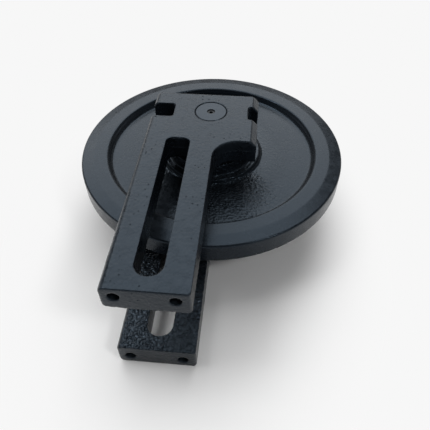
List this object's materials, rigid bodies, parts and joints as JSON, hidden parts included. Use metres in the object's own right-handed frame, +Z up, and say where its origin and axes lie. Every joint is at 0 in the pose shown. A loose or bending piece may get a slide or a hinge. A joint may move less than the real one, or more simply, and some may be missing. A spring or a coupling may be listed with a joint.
{
  "type": "excavator front idler",
  "caption": "Narrow disc idler wheel turning on a fixed oil-filled axle between mirrored cast brackets with long slotted arms that bolt to a track tensioner.",
  "frame": {"origin": "on the axle's axis at the lower bracket's outer face, which the part lies on in the picture", "axes": "+Z up along the axle, -Y along the bracket arms towards the tensioner, +X to the right in the picture"},
  "size_m": [0.42, 0.541, 0.171],
  "materials": {
    "black_paint": "satin black enamel over cast steel",
    "shaft_steel": "ground, its ends painted with the brackets",
    "bush_bronze": "machined",
    "seal_iron": "lapped",
    "seal_rubber": "matt",
    "pin_steel": "blackened",
    "washer_copper": "soft annealed"
  },
  "bodies": {
    "bracket_frame": {"axle_shaft": "shaft_steel", "upper_bracket": "black_paint", "lower_bracket": "black_paint", "upper_fixed_seal_ring": "seal_iron", "lower_fixed_seal_ring": "seal_iron", "upper_fixed_toric": "seal_rubber", "lower_fixed_toric": "seal_rubber", "upper_shaft_o_ring": "seal_rubber", "lower_shaft_o_ring": "seal_rubber", "upper_lock_pin": "pin_steel", "lower_lock_pin": "pin_steel", "oil_plug": "pin_steel", "plug_washer": "washer_copper"},
    "wheel": {"idler_wheel": "black_paint", "upper_bush": "bush_bronze", "lower_bush": "bush_bronze", "upper_turning_seal_ring": "seal_iron", "lower_turning_seal_ring": "seal_iron", "upper_turning_toric": "seal_rubber", "lower_turning_toric": "seal_rubber"}
  },
  "joints": [
    {"name": "wheel_spin", "type": "hinge", "parent": "bracket_frame", "child": "wheel", "pos_m": [0, 0, 0.0855], "axis": [0, 0, 1], "continuous": true}
  ]
}
